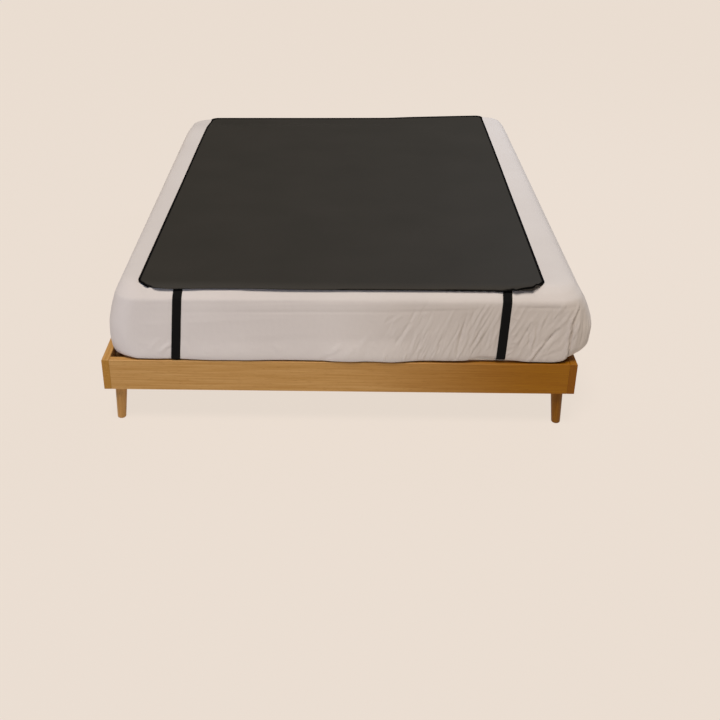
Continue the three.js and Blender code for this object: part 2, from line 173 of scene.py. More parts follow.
# Creases of the sheet at the foot end and round its corners, as ridges (positive) and troughs along bowed
# lines. Their places are the distance along the cloth from the middle of the foot end, and the height
FOOT_CREASES = table(
    CREASE,
    # Long lines where the mattress's border shows through
    (-690, 449, -126, 460, 0, 5, -0.5),
    (-321, 460, 263, 466, 0, 4, -0.6),
    (199, 464, 520, 473, 0, 4, -0.6),
    (-618, 422, -125, 427, 0, 5, -0.5),
    (-321, 426, 296, 431, 0, 4, -1),
    (200, 431, 523, 444, 0, 4, -1.3),
    (199, 440, 458, 446, 0, 4, 0.6),
    (546, 472, 713, 479, 0, 5, -0.5),
    (547, 448, 793, 449, 0, 4, -2),
    (560, 457, 773, 460, 0, 4, 0.8),
    # At the left strap
    (-700, 374, -158, 405, 0, 9, 0.5),
    (-524, 321, -28, 353, 0, 12, 0.5),
    (-552, 310, -595, 272, 3, 5, 2.2),
    (-556, 336, -548, 307, 3, 5, 1.2),
    (-590, 328, -627, 284, 3, 6, 1.2),
    (-515, 315, -488, 249, -3, 6, 1.8),
    (-509, 358, -472, 299, 0, 7, 0.9),
    (-685, 327, -634, 276, 3, 7, -0.9),
    (-717, 353, -695, 281, 3, 7, 1),
    # Middle
    (-219, 314, -186, 281, 0, 6, 1.2),
    (-33, 274, 12, 316, 3, 5, 2.6),
    (-60, 249, -13, 290, 3, 5, -1.6),
    (58, 310, 23, 260, 3, 6, 1.5),
    (111, 358, 66, 268, 7, 7, 1.4),
    (181, 415, 148, 387, 0, 4, -1.2),
    (210, 422, 174, 394, 0, 4, 1.2),
    (234, 394, 211, 355, 0, 4, -2),
    (216, 362, 190, 315, 0, 4, -2),
    (244, 384, 204, 307, 3, 4, 1.4),
    (195, 380, 174, 336, 0, 4, 1),
    (248, 432, 234, 398, 0, 4, -2),
    (265, 430, 253, 394, 0, 4, 1.2),
    (304, 430, 291, 402, 0, 4, -1.6),
    (284, 433, 278, 409, 0, 4, 1.2),
    (266, 384, 242, 281, 3, 4, 1.8),
    (281, 367, 259, 270, 3, 4, -1.4),
    (300, 359, 283, 286, 0, 4, 1),
    (282, 308, 254, 281, 0, 3.5, 1.8),
    (337, 324, 315, 260, 3, 4, 2.4),
    (335, 316, 328, 282, 0, 3.5, -2.6),
    (322, 367, 295, 312, 3, 4, 1),
    (368, 431, 353, 361, 0, 4, 0.8),
    (359, 367, 338, 312, 0, 4, -0.8),
    (421, 431, 408, 368, 2, 3.5, -3.4),
    (410, 396, 402, 332, 1, 3.5, -4.4),
    (404, 354, 393, 280, 1, 3.5, -3.4),
    (406, 410, 389, 338, 2, 3.5, 2.6),
    (394, 361, 383, 286, 1, 3.5, 2.6),
    (390, 396, 382, 353, 0, 3.5, 1.8),
    (427, 368, 416, 302, 0, 4, 1.8),
    (439, 445, 432, 383, 0, 4, -2),
    (449, 431, 436, 368, 0, 4, 1.4),
    (468, 435, 450, 375, 0, 4, 2.6),
    (454, 389, 434, 310, 1, 4, 2.6),
    (478, 431, 462, 383, 0, 4, -1.8),
    (462, 375, 448, 310, 0, 4, -1.8),
    (478, 383, 454, 306, 1, 4, 2.6),
    (486, 368, 467, 295, 1, 3.5, -2.2),
    (506, 391, 492, 287, 1, 4, 2.6),
    (518, 368, 507, 273, 0, 3.5, 2.2),
    (499, 368, 485, 295, 0, 3.5, -1.4),
    # A fuller roll at the right of the foot end, and a tuft pushed up beside the right strap
    (552, 487, 780, 489, 0, 8, 3),
    (508, 488, 528, 481, 0, 4, 4.2),
    # Right of the right strap, with the S-shaped fold
    (560, 419, 590, 409, 3, 4, 2.2),
    (559, 345, 584, 355, -3, 4, 2.2),
    (565, 320, 593, 331, 0, 3.5, 2.6),
    (557, 297, 582, 311, -3, 4, 2),
    (552, 269, 581, 289, -3, 4, 2.4),
    (654, 442, 629, 398, 1, 5, 2.4),
    (634, 413, 612, 374, 1, 5, 2.8),
    (629, 398, 613, 355, 1, 4, -3.4),
    (622, 377, 594, 308, 3, 4.5, -4.4),
    (601, 351, 573, 289, 3, 5, 2),
    (641, 384, 639, 327, 0, 3.5, 3),
    (639, 349, 632, 274, 1, 3.5, 3),
    (625, 370, 626, 308, 0, 3.5, -2.8),
    (649, 392, 646, 316, 0, 3.5, -2.4),
    (669, 419, 657, 381, 0, 3.5, 2.4),
    (676, 413, 666, 377, 0, 3.5, -2),
    (660, 371, 650, 312, 0, 4, 1.6),
    (755, 445, 731, 389, 1, 5, 3.6),
    (738, 414, 710, 367, 1, 5, 3.6),
    (721, 379, 689, 338, -1, 4, -5.2),
    (704, 353, 670, 304, 2, 4.5, -5.2),
    (712, 342, 684, 298, 1, 5, 2.8),
    (682, 327, 646, 289, 1, 4, 4.6),
    (657, 302, 627, 249, -1, 4, 4.6),
    (674, 308, 638, 249, 0, 3.5, -3.6),
    (736, 364, 709, 312, 3, 6, 2.2),
    (719, 334, 692, 286, 3, 6, -1.8),
    (740, 298, 668, 268, 2, 5, -1.6),
    (729, 316, 683, 280, 2, 6, 1.4),
    (671, 446, 671, 398, 0, 3.5, 1.3),
    (686, 450, 687, 392, 0, 3.5, 1.5),
    (701, 450, 701, 400, 0, 3.5, 1.3),
    (718, 450, 713, 400, 0, 3.5, 1.5),
    (735, 450, 723, 400, 0, 3.5, -1.5),
    # Short gathers along the hem
    (224, 285, 216, 251, 0, 4, 2),
    (245, 281, 236, 251, 0, 4, -1.4),
    (264, 286, 257, 250, 0, 4, 2),
    (288, 282, 277, 250, 0, 4, 2),
    (365, 294, 363, 249, 0, 3.5, 2),
    (384, 294, 380, 249, 0, 3.5, 2.2),
    (396, 290, 388, 256, 0, 3.5, -2),
    (411, 302, 408, 260, 0, 3.5, 2),
    (431, 299, 428, 265, 0, 3.5, 2),
    (448, 295, 444, 269, 0, 3.5, -1.6),
    (467, 295, 463, 269, 0, 3.5, 1.8),
    (488, 291, 487, 249, 0, 3.5, 1.8),
    (155, 281, 146, 251, 0, 5, 1.4),
    (112, 277, 100, 250, 0, 5, 1.4),
    (600, 289, 593, 258, 0, 4, 2),
    (574, 282, 570, 258, 0, 4, 2),
    # The corner seam, the deep fold beside it, and the side panel
    (787, 459, 753, 396, 3, 4.5, 4.2),
    (756, 420, 751, 342, 1, 4.5, 5),
    (751, 372, 753, 262, 1, 4.5, 5),
    (797, 455, 764, 392, 3, 3.5, -7),
    (768, 415, 763, 330, 1, 3.5, -10),
    (763, 368, 762, 262, 1, 3.5, -10.5),
    (791, 437, 781, 370, 0, 5, 2.4),
    (786, 402, 777, 300, 0, 5, 3),
    (806, 427, 799, 301, -2, 5, -4),
    (831, 404, 821, 305, -2, 5, 3),
    (846, 440, 840, 290, -2, 5, -4),
)
# Creases of the two long sides and the head end, in y or x and z
RIGHT_CREASES = table(
    CREASE,
    (-930, 460, -900, 270, 8, 26.5, 5.1),
    (-890, 440, -850, 262, -6, 31, 4.2),
    (-840, 400, -760, 262, 8, 31, 3.5),
    (-730, 380, -690, 260, 6, 26.5, 2.9),
    (-560, 350, -480, 262, 6, 31, 2.9),
    (-300, 340, -250, 260, 5, 28.5, 2.2),
    (20, 350, 90, 262, 6, 31, 2.9),
    (330, 360, 300, 262, 6, 28.5, 2.6),
    (620, 400, 560, 262, 8, 31, 3.2),
    (800, 430, 760, 262, 8, 28.5, 4.2),
    (905, 450, 870, 262, 6, 26.5, 4.5),
    (948, 470, 948, 240, 0, 9, -4.8),
)
LEFT_CREASES = table(
    CREASE,
    (-948, 470, -948, 240, 0, 9, -4.2),
    (-900, 430, -860, 262, 6, 26.5, 3.2),
    (-700, 380, -650, 262, 6, 31, 2.6),
    (-420, 350, -350, 262, 6, 31, 2.6),
    (-80, 340, -140, 262, 5, 31, 2.2),
    (240, 350, 200, 262, 5, 28.5, 2.6),
    (560, 380, 500, 262, 6, 31, 2.9),
    (820, 430, 780, 262, 8, 28.5, 3.8),
    (948, 470, 948, 240, 0, 9, -4.8),
)
HEAD_CREASES = table(
    CREASE,
    (-640, 430, -600, 262, 6, 24, 3.5),
    (-470, 380, -430, 262, 6, 26, 2.9),
    (-200, 360, -260, 262, 6, 28, 2.6),
    (80, 350, 130, 262, 6, 28, 2.6),
    (330, 370, 290, 262, 6, 26, 2.9),
    (500, 420, 470, 262, 6, 24, 3.5),
    (690, 430, 660, 262, 6, 24, 4.2),
)
# Families of fine creases: how many, where, how they lean from the upright, and their sizes
FINE_CREASES = table(
    "count x0 x1 z0 z1 lean length width rise",
    (34, 110, 300, 270, 430, 23, 120, 2.8, 0.6),
    (90, 250, 530, 262, 430, 20, 140, 2.5, 0.55),
    (46, 566, 775, 262, 445, 33, 90, 2.7, 0.55),
    (26, -700, 100, 254, 320, 42, 45, 4, 0.9),
)

# The foot end's creases are made deeper than listed at the left, and shallower past the middle
DEPTH = dict(left=1.2, right=0.75, start=180, end=380)
# Fine crumpling and the painted shade that goes with it: across the foot end, down from the shoulder, and its
# share on the long sides
CRUMPLE_AND_SHADE = dict(start=0, end=480, top=478, full=440, sides=0.45)

LEG = dict(top=20.5, foot=15, inset_x=50.5, inset_y=38, splay_x=9, splay_y=3, rounding=6, height=130.7,
           around=64)
CENTRE_LEG = dict(height=148.7, spacing=350)
FRAME_SIZE = dict(half_width=795, half_length=1048)
MATTRESS = dict(top_inset=1.2, side_inset=9, bottom=220.3)

FLOOR = dict(size=60000, drop=0.5, colour="#eaded2", glow=0.93)
BACKDROP = dict(radius=29, glow=0.97, around=48, rows=24)


def linear(code):
    """An sRGB hex colour as linear red, green, blue and alpha."""
    value = np.array([int(code[k : k + 2], 16) for k in (1, 3, 5)]) / 255
    value = np.where(value <= 0.04045, value / 12.92, ((value + 0.055) / 1.055) ** 2.4)
    return (*value.tolist(), 1.0)


# Numbers along a table, and soft steps

def smooth(columns, key, at, name):
    """One column of a table at other places of its key, as a cubic through the rows. The slope at a row is
    the harmonic mean of the slopes beside it, or none where their signs differ, so the curve never
    overshoots."""
    x, y = columns[key], columns[name]
    if x[0] > x[-1]:
        x, y = x[::-1], y[::-1]
    step = np.diff(x)
    rise = np.diff(y) / step
    both = rise[:-1] * rise[1:]
    total = rise[:-1] + rise[1:]
    inner = np.where(both > 0, 2 * both / np.where(total == 0, 1, total), 0)
    slope = np.concatenate([rise[:1], inner, rise[-1:]])
    k = np.clip(np.searchsorted(x, at) - 1, 0, len(step) - 1)
    t = np.clip((at - x[k]) / step[k], 0, 1)
    return (
        y[k] * (1 + 2 * t) * (1 - t) ** 2
        + y[k + 1] * t**2 * (3 - 2 * t)
        + step[k] * (slope[k] * t * (1 - t) ** 2 - slope[k + 1] * t**2 * (1 - t))
    )


def ease(value, start, end):
    """0 before start and 1 after end, with a soft step between: three t squared less two t cubed."""
    t = np.clip((value - start) / (end - start), 0, 1)
    return t * t * (3 - 2 * t)


def creases(columns, a, b):
    """The sum of soft ridges and troughs at points (a, b) of a face. Each is its rise times e to the minus
    square of the distance from a bowed line over its width, and it fades towards both ends as a half sine."""
    total = np.zeros(np.broadcast(a, b).shape)
    for a0, b0, a1, b1, bow, width, rise in zip(*columns.values()):
        run = math.hypot(a1 - a0, b1 - b0)
        along = ((a - a0) * (a1 - a0) + (b - b0) * (b1 - b0)) / run**2
        off = ((a - a0) * (b1 - b0) - (b - b0) * (a1 - a0)) / run
        inside = np.clip(along, 0, 1)
        fade = np.sin(np.pi * inside) ** 0.5
        total += rise * fade * np.exp(-(((off - 4 * bow * inside * (1 - inside)) / width) ** 2))
    return total


def fine_creases():
    """Rows of creases drawn at random, always the same ones, from the families of fine creases."""
    random = np.random.default_rng(11)
    rows = []
    for count, x0, x1, z0, z1, lean, length, width, rise in zip(*FINE_CREASES.values()):
        for _ in range(int(count)):
            x, z = random.uniform(x0, x1), random.uniform(z0, z1)
            angle = math.radians(lean + random.normal(0, 4))
            half = length * random.uniform(0.5, 1.2) / 2
            da, db = half * math.sin(angle), half * math.cos(angle)
            high = rise * random.uniform(0.6, 1.5) * random.choice([-1, 1])
            wide = width * random.uniform(0.8, 1.5)
            rows.append((x + da, z + db, x - da, z - db, random.uniform(-2, 2), wide, high))
    return table(CREASE, *rows)


# Meshes

def quads(rows, columns, wrap=False, loop=False):
    """Faces of a grid of rows and columns, each with its corners' row and column before any wrap."""
    down = np.arange(rows if loop else rows - 1)
    along = np.arange(columns if wrap else columns - 1)
    r, c = np.meshgrid(down, along, indexing="ij")
    row = np.stack([r, r + 1, r + 1, r], -1).reshape(-1, 4)
    column = np.stack([c, c, c + 1, c + 1], -1).reshape(-1, 4)
    return row, column


def closed_faces(rows, columns):
    """Faces of a grid that is wrapped round, closed by one flat face on its first row and one on its last."""
    row, column = quads(rows, columns, wrap=True)
    ring = np.arange(columns)
    ends = [ring.tolist(), (ring[::-1] + (rows - 1) * columns).tolist()]
    return (row * columns + column % columns).tolist() + ends


def put(name, points, faces, finish, slot, replaces=(), uv=None, crumple=None):
    """Makes a mesh object of points in millimetres, with smooth faces that point outwards and, where they are
    given, a UV map of two numbers in metres for each corner and a share of crumpling for each point, which
    the cotton also reads for its painted shade. It rides on the one body."""
    mesh = bpy.data.meshes.new(name)
    mesh.from_pydata((points.reshape(-1, 3) / 1000 + MIDDLE).tolist(), [], faces)
    mesh.polygons.foreach_set("use_smooth", np.ones(len(mesh.polygons), bool))
    if uv is not None:
        layer = mesh.uv_layers.new(name="along_and_across")
        layer.data.foreach_set("uv", uv.astype(np.float32).ravel())
    if crumple is not None:
        layer = mesh.attributes.new("crumple", "FLOAT", "POINT")
        layer.data.foreach_set("value", crumple.astype(np.float32).ravel())
    mesh.materials.append(finish)
    made = bpy.data.objects.new(name, mesh)
    bpy.context.scene.collection.objects.link(made)
    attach(made, "root")
    if replaces:
        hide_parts(*replaces)
    return made


def cloth(name, grid, up, thickness, finish, u, v, wrap=False, cap=False, crumple=None, **more):
    """A sheet of cloth with its thickness: the grid carried half the thickness up and down, and closed round
    its open edges. u and v are the metres along the grid's columns and rows, and cap closes a wrapped grid's
    first row with one flat face on each side."""
    rows, columns = grid.shape[:2]
    half = (np.asarray(thickness) / 2)[..., None] if np.ndim(thickness) else thickness / 2
    points = np.concatenate([(grid + up * half).reshape(-1, 3), (grid - up * half).reshape(-1, 3)])
    count = rows * columns
    row, column = quads(rows, columns, wrap)
    top = row * columns + column % columns
    edges = []
    last = (rows - 1) * columns
    c = np.arange(columns if wrap else columns - 1)
    edges.append(np.stack([last + c, last + (c + 1) % columns], -1))
    if not cap:
        edges.append(np.stack([(c + 1) % columns, c], -1))
    if not wrap:
        r = np.arange(rows - 1) * columns
        edges.append(np.stack([r, r + columns], -1))
        edges.append(np.stack([r + 2 * columns - 1, r + columns - 1], -1))
    edge = np.concatenate(edges)
    rim = np.stack([edge[:, 1], edge[:, 0], edge[:, 0] + count, edge[:, 1] + count], -1)
    faces = np.concatenate([top, top[:, ::-1] + count, rim]).tolist()
    corner_uv = np.stack([u[column], v[row]], -1)
    vertex_uv = np.stack([np.tile(u[:columns], rows), np.repeat(v, columns)], -1)
    uv = [corner_uv.reshape(-1, 2), corner_uv[:, ::-1].reshape(-1, 2), vertex_uv[rim.ravel() % count]]
    if cap:
        ring = np.arange(columns)
        faces += [ring.tolist(), (ring[::-1] + count).tolist()]
        uv += [points[ring][:, :2] / 1000, points[ring[::-1]][:, :2] / 1000]
    if crumple is not None:
        crumple = np.concatenate([crumple.ravel()] * 2)
    return put(name, points, faces, finish, uv=np.concatenate(uv), crumple=crumple, **more)


def unit(vectors):
    return vectors / np.linalg.norm(vectors, axis=-1, keepdims=True)


def grid_normals(grid, wrap=False):
    """Unit normals of a grid: the cross product of its differences down the rows and along the columns."""
    padded = np.concatenate([grid[:, -1:], grid, grid[:, :1]], 1) if wrap else grid
    down = np.gradient(padded, axis=0)
    along = np.gradient(padded, axis=1)
    normals = np.cross(down, along)
    return unit(normals[:, 1:-1] if wrap else normals)


def lengths(points):
    """The distance walked to each point of a path, in metres."""
    steps = np.linalg.norm(np.diff(points, axis=0), axis=1)
    return np.concatenate([[0], np.cumsum(steps)]) / 1000


# Materials

def add(tree, kind, inputs=None, **settings):
    """Adds one shader node. Settings are its own properties, and inputs its sockets by name or number, each a
    value or the output socket of another node."""
    made = tree.nodes.new("ShaderNode" + kind)
    for name, value in settings.items():
        setattr(made, name, value)
    for name, value in (inputs or {}).items():
        if isinstance(value, bpy.types.NodeSocket):
            tree.links.new(value, made.inputs[name])
        else:
            made.inputs[name].default_value = value
    return made


# A colour Mix node's settings and socket numbers
TINT = dict(data_type="RGBA")
MULTIPLY = dict(data_type="RGBA", blend_type="MULTIPLY")
MIX_A, MIX_B, MIX_RESULT = 6, 7, 2


def new_material(name, roughness, **sockets):
    """A material with its shader's plain values: returns it, its node tree and its shader."""
    made = bpy.data.materials.new(name)
    made.use_nodes = True
    shader = made.node_tree.nodes["Principled BSDF"]
    shader.inputs["Roughness"].default_value = roughness
    for socket, value in sockets.items():
        shader.inputs[socket.replace("_", " ")].default_value = value
    return made, made.node_tree, shader


def per_metre(millimetres):
    return 1000 / millimetres


def conductive_leatherette():
    """Carbon filled PU skin, calendered with a fine pebble: an even, dark, slightly warm grey with a soft
    sheen."""
    made, tree, shader = new_material("conductive_leatherette", 0.65, Specular_IOR_Level=0.14)
    place = add(tree, "TexCoord").outputs["Object"]
    cloud = add(tree, "TexNoise", {"Vector": place, "Scale": per_metre(260), "Detail": 3.0})
    tone = add(tree, "Mix", {0: cloud.outputs["Fac"], MIX_A: linear("#34322d"), MIX_B: linear("#3c3934")},
               **TINT)
    speck = add(tree, "TexNoise", {"Vector": place, "Scale": per_metre(3), "Detail": 2.0})
    fine = add(tree, "Mix", {0: 0.1, MIX_A: tone.outputs[MIX_RESULT], MIX_B: speck.outputs["Fac"]},
               data_type="RGBA", blend_type="OVERLAY")
    tree.links.new(fine.outputs[MIX_RESULT], shader.inputs["Base Color"])
    # The pebble is about 1 mm across on the real skin, and twice that here so that close views show it
    pebble = add(tree, "TexVoronoi", {"Vector": place, "Scale": per_metre(2.0)}, feature="SMOOTH_F1")
    grain = add(tree, "Bump", {"Height": pebble.outputs["Distance"], "Strength": 0.25, "Distance": 0.0002})
    wave = add(tree, "TexNoise", {"Vector": place, "Scale": per_metre(90), "Detail": 1.0})
    soft = add(tree, "Bump", {"Height": wave.outputs["Fac"], "Strength": 0.35, "Distance": 0.0016,
                              "Normal": grain.outputs["Normal"]})
    tree.links.new(soft.outputs["Normal"], shader.inputs["Normal"])
    return made


def woven_cloth(name, colours, thread, roughness, sheen, crumple, **sockets):
    """Woven cloth on a piece's own UV map: two sets of threads cross in the bump, the colour drifts a little
    from place to place, and crumple is the height in millimetres of soft unevenness about 30 mm across."""
    made, tree, shader = new_material(name, roughness, Sheen_Weight=sheen, **sockets)
    flat = add(tree, "UVMap", uv_map="along_and_across").outputs["UV"]
    place = add(tree, "TexCoord").outputs["Object"]
    cloud = add(tree, "TexNoise", {"Vector": place, "Scale": per_metre(180), "Detail": 4.0})
    tone = add(tree, "Mix", {0: cloud.outputs["Fac"], MIX_A: linear(colours[0]), MIX_B: linear(colours[1])},
               **TINT)
    # A Wave texture's bands are a twentieth of a unit wide at a scale of one and a direction along one axis
    across, along = (
        add(tree, "TexWave", {"Vector": flat, "Scale": per_metre(thread) / 20 * 2, "Distortion": 0.6,
                              "Detail": 1.0, "Detail Scale": 2.0}, bands_direction=axis)
        for axis in "XY"
    )
    weave = add(tree, "Math", {0: across.outputs["Fac"], 1: along.outputs["Fac"]}, operation="ADD")
    shade = add(tree, "MapRange", {"Value": weave.outputs["Value"], "From Max": 2.0, "To Min": 0.93,
                                   "To Max": 1.05})
    threads = add(tree, "Mix", {0: 1.0, MIX_A: tone.outputs[MIX_RESULT], MIX_B: shade.outputs["Result"]},
                  **MULTIPLY)
    tree.links.new(threads.outputs[MIX_RESULT], shader.inputs["Base Color"])
    bump = add(tree, "Bump", {"Height": weave.outputs["Value"], "Strength": 0.3, "Distance": thread / 8000})
    uneven = add(tree, "TexNoise", {"Vector": place, "Scale": per_metre(30), "Detail": 3.0,
                                    "Roughness": 0.55})
    soft = add(tree, "Bump", {"Height": uneven.outputs["Fac"], "Strength": 0.5, "Distance": crumple / 1000,
                              "Normal": bump.outputs["Normal"]})
    tree.links.new(soft.outputs["Normal"], shader.inputs["Normal"])
    return made


def washed_cotton():
    """Plain woven cotton, washed and not ironed: pale, slightly pink grey, matt, and full of small creases.
    Where it is pulled askew, at the right of the foot end, the creases that are too fine for the mesh lean
    the way the cloth is pulled, and its colour is darkened and warmed there as painted shade of the folds."""
    made = woven_cloth("washed_cotton", ("#d8d1cc", "#e1dbd6"), 1.2, 0.9, 0.1, 1.6)
    tree = made.node_tree
    shader = tree.nodes["Principled BSDF"]
    share = add(tree, "Attribute", attribute_name="crumple").outputs["Fac"]
    place = add(tree, "TexCoord").outputs["Object"]
    lean = add(tree, "Mapping", {"Vector": place, "Rotation": (0, math.radians(-25), 0)})
    drawn = add(tree, "Mapping", {"Vector": lean.outputs["Vector"],
                                  "Scale": (per_metre(17), per_metre(90), per_metre(190))})
    fine = add(tree, "TexNoise", {"Vector": drawn.outputs["Vector"], "Scale": 1.0, "Detail": 1.0,
                                  "Distortion": 0.15}, noise_type="RIDGED_MULTIFRACTAL")
    height = add(tree, "Math", {0: fine.outputs["Fac"], 1: share}, operation="MULTIPLY")
    before = shader.inputs["Normal"].links[0].from_socket
    bump = add(tree, "Bump", {"Height": height.outputs["Value"], "Strength": 1.0, "Distance": 0.004,
                              "Normal": before})
    tree.links.new(bump.outputs["Normal"], shader.inputs["Normal"])
    # Painted shade: where the cloth is crumpled, its colour is multiplied by a darker, warmer tint for the
    # shade of its folds
    depth = add(tree, "Math", {0: share, 1: 0.5}, operation="POWER").outputs["Value"]
    tone = add(tree, "Mix", {0: depth, MIX_A: shader.inputs["Base Color"].links[0].from_socket,
                             MIX_B: linear("#edeae6")}, **MULTIPLY)
    tree.links.new(tone.outputs[MIX_RESULT], shader.inputs["Base Color"])
    return made


def wood(name, colours, grain, roughness=0.42, end=None, painted_shade_to_right=None):
    """Oiled wood on Object coordinates, stretched along the axis that the grain follows: broad bands of tone,
    fine fibres, and short dark pores. end darkens the faces that cut across the grain, and the last argument
    is a painted shade: a tint multiplied in more and more towards the right of the bed, where the light falls
    off."""
    made, tree, shader = new_material(name, roughness, Specular_IOR_Level=0.15)
    place = add(tree, "TexCoord")
    axis = "XYZ".index(grain)

    def stretched(width, length, detail, offset):
        scale = [per_metre(width)] * 3
        scale[axis] = per_metre(length)
        moved = add(tree, "Mapping", {"Vector": place.outputs["Object"], "Location": (offset,) * 3,
                                      "Scale": tuple(scale)})
        return add(tree, "TexNoise", {"Vector": moved.outputs["Vector"], "Scale": 1.0, "Detail": detail,
                                      "Roughness": 0.6, "Distortion": 0.3}).outputs["Fac"]

    band = add(tree, "MapRange", {"Value": stretched(38, 700, 2.0, 3.7), "From Min": 0.3, "From Max": 0.7})
    fibre = add(tree, "MapRange", {"Value": stretched(5.5, 240, 5.0, 11.3), "From Min": 0.32,
                                   "From Max": 0.68})
    pore = add(tree, "MapRange", {"Value": stretched(2.2, 26, 1.0, 23.1), "From Min": 0.6, "From Max": 0.74})
    base = add(tree, "Mix", {0: band.outputs["Result"], MIX_A: linear(colours[0]),
                             MIX_B: linear(colours[1])}, **TINT)
    lined = add(tree, "Mix", {0: fibre.outputs["Result"], MIX_A: linear(colours[2]),
                              MIX_B: base.outputs[MIX_RESULT]}, **TINT)
    depth = add(tree, "Math", {0: pore.outputs["Result"], 1: 0.45}, operation="MULTIPLY")
    colour = add(tree, "Mix", {0: depth.outputs["Value"], MIX_A: lined.outputs[MIX_RESULT],
                               MIX_B: linear(colours[3])}, **TINT).outputs[MIX_RESULT]
    if end:
        facing = add(tree, "SeparateXYZ", {0: place.outputs["Normal"]}).outputs[grain]
        square = add(tree, "Math", {0: facing, 1: facing}, operation="MULTIPLY")
        colour = add(tree, "Mix", {0: square.outputs["Value"], MIX_A: colour, MIX_B: linear(end)},
                     **MULTIPLY).outputs[MIX_RESULT]
    # Painted shade: the wood is darkened and warmed towards the right of the bed, where the light falls off
    if painted_shade_to_right:
        across = add(tree, "SeparateXYZ", {0: place.outputs["Object"]}).outputs["X"]
        share = add(tree, "MapRange", {"Value": across, "From Min": -0.1, "From Max": 0.68},
                    interpolation_type="SMOOTHSTEP")
        colour = add(tree, "Mix", {0: share.outputs["Result"], MIX_A: colour, MIX_B: linear(painted_shade_to_right)},
                     **MULTIPLY).outputs[MIX_RESULT]
    tree.links.new(colour, shader.inputs["Base Color"])
    bump = add(tree, "Bump", {"Height": depth.outputs["Value"], "Strength": 0.3, "Distance": 0.0002},
               invert=True)
    tree.links.new(bump.outputs["Normal"], shader.inputs["Normal"])
    return made


def plain(name, colour, roughness):
    made, _, shader = new_material(name, roughness)
    shader.inputs["Base Color"].default_value = linear(colour)
    return made


# Camera, light and floor

def camera():
    made = bpy.data.objects.new("camera", bpy.data.cameras.new("camera"))
    made.data.lens = CAMERA["lens"]
    made.data.shift_x = CAMERA["shift"]
    made.data.clip_end = 100
    turn = [Matrix.Rotation(math.radians(angle), 3, axis)
            for angle, axis in ((CAMERA["yaw"], "Z"), (90 - CAMERA["pitch"], "X"), (CAMERA["roll"], "Z"))]
    made.rotation_euler = (turn[0] @ turn[1] @ turn[2]).to_euler()
    made.location = np.array(CAMERA["place"]) / 1000 + MIDDLE
    bpy.context.scene.collection.objects.link(made)
    bpy.context.scene.camera = made


def lamp(kind, name, colour, strength, place, aim, **settings):
    """One light at a place in metres, facing its aim, which no camera sees as a shape."""
    made = bpy.data.objects.new(name, bpy.data.lights.new(name, kind))
    made.data.energy = strength
    made.data.color = linear(colour)[:3]
    for setting, value in settings.items():
        setattr(made.data, setting, value)
    made.location = place
    made.rotation_euler = (Vector(place) - Vector(aim)).to_track_quat("Z", "Y").to_euler()
    made.visible_camera = False
    bpy.context.scene.collection.objects.link(made)


def studio():
    """An overhead light a little in front, a cool low one at the front left and a faint one behind at the
    right. The floor glows at the backdrop's colour, so it stays even and only a faint shadow shows on it."""
    world = bpy.data.worlds.new("studio")
    world.use_nodes = True
    sky = world.node_tree.nodes["Background"]
    sky.inputs["Color"].default_value = linear(FLOOR["colour"])
    sky.inputs["Strength"].default_value = 0.04
    bpy.context.scene.world = world
    lamp("SUN", "overhead", "#fff5ec", 2.65, (-0.4, -1.45, 4), (0, 0, 0), angle=math.radians(24))
    lamp("AREA", "front_left", "#90bcff", 11, (-2.3, -3.2, 0.75), (-0.3, -0.6, 0.35), size=1.0)
    lamp("AREA", "back_right", "#d4e6ff", 36, (1.9, 1.5, 3.2), (0, -0.3, 0.3), size=1.6, specular_factor=0.4)
    bpy.context.scene.view_settings.view_transform = "Standard"
    square = np.array([(-1, -1), (1, -1), (1, 1), (-1, 1)]) * FLOOR["size"] / 2
    corners = np.column_stack([square, np.full(4, -FLOOR["drop"])]) / 1000
    staged("floor", corners, [(0, 1, 2, 3)], (0.07, 0.06, 0.055, 1), FLOOR["glow"])
    backdrop()


def staged(name, points, faces, colour, glow):
    """A mesh in metres beside the bed, which keeps the floor's colour by glowing in it."""
    mesh = bpy.data.meshes.new(name)
    mesh.from_pydata(points.tolist(), [], faces)
    mesh.materials.append(new_material("pale_" + name, 0.9, Base_Color=colour, Specular_IOR_Level=0.0,
                                       Emission_Color=linear(FLOOR["colour"]), Emission_Strength=glow)[0])
    made = bpy.data.objects.new(name, mesh)
    bpy.context.scene.collection.objects.link(made)
    return made


def backdrop():
    """A far dome in the floor's colour, for views that look level: a half circle spun round the upright. It
    is only there to be seen, and neither lights the bed nor takes light from it."""
    around = np.linspace(0, 2 * np.pi, BACKDROP["around"] + 1)[:-1]
    heights = np.linspace(-np.pi / 2, np.pi / 2, BACKDROP["rows"] + 1)[1:-1]
    spin, rise = np.meshgrid(around, heights)
    level = np.cos(rise)
    points = BACKDROP["radius"] * np.stack([level * np.cos(spin), level * np.sin(spin), np.sin(rise)], -1)
    faces = closed_faces(*rise.shape)
    dome = staged("backdrop", points.reshape(-1, 3), faces, (0, 0, 0, 1), BACKDROP["glow"])
    for kind in ("diffuse", "glossy", "transmission", "volume_scatter", "shadow"):
        setattr(dome, "visible_" + kind, False)


# Fitted sheet and mattress

def sag(x, y, z):
    """How far the crown lies below its level near the head end, fading out down the sides."""
    along = ease(y, SAG["start"], SAG["end"])
    share = np.clip((z - SAG["fade"]) / (CROWN - SAG["fade"]), 0, 1)
    return smooth(SAG_HEIGHTS, "x", x, "z") * along * share


def form_at(steps):
    """The form's columns at steps along the foot profile, in millimetres walked from the crown. steps gives
    them from the length of the profile."""
    walked = np.concatenate([[0], np.cumsum(np.hypot(np.diff(FORM["foot"]), np.diff(FORM["z"])))])
    rows = dict(FORM, walked=walked)
    at = steps(walked[-1])
    return {name: smooth(rows, "walked", at, name) for name in FORM}, at


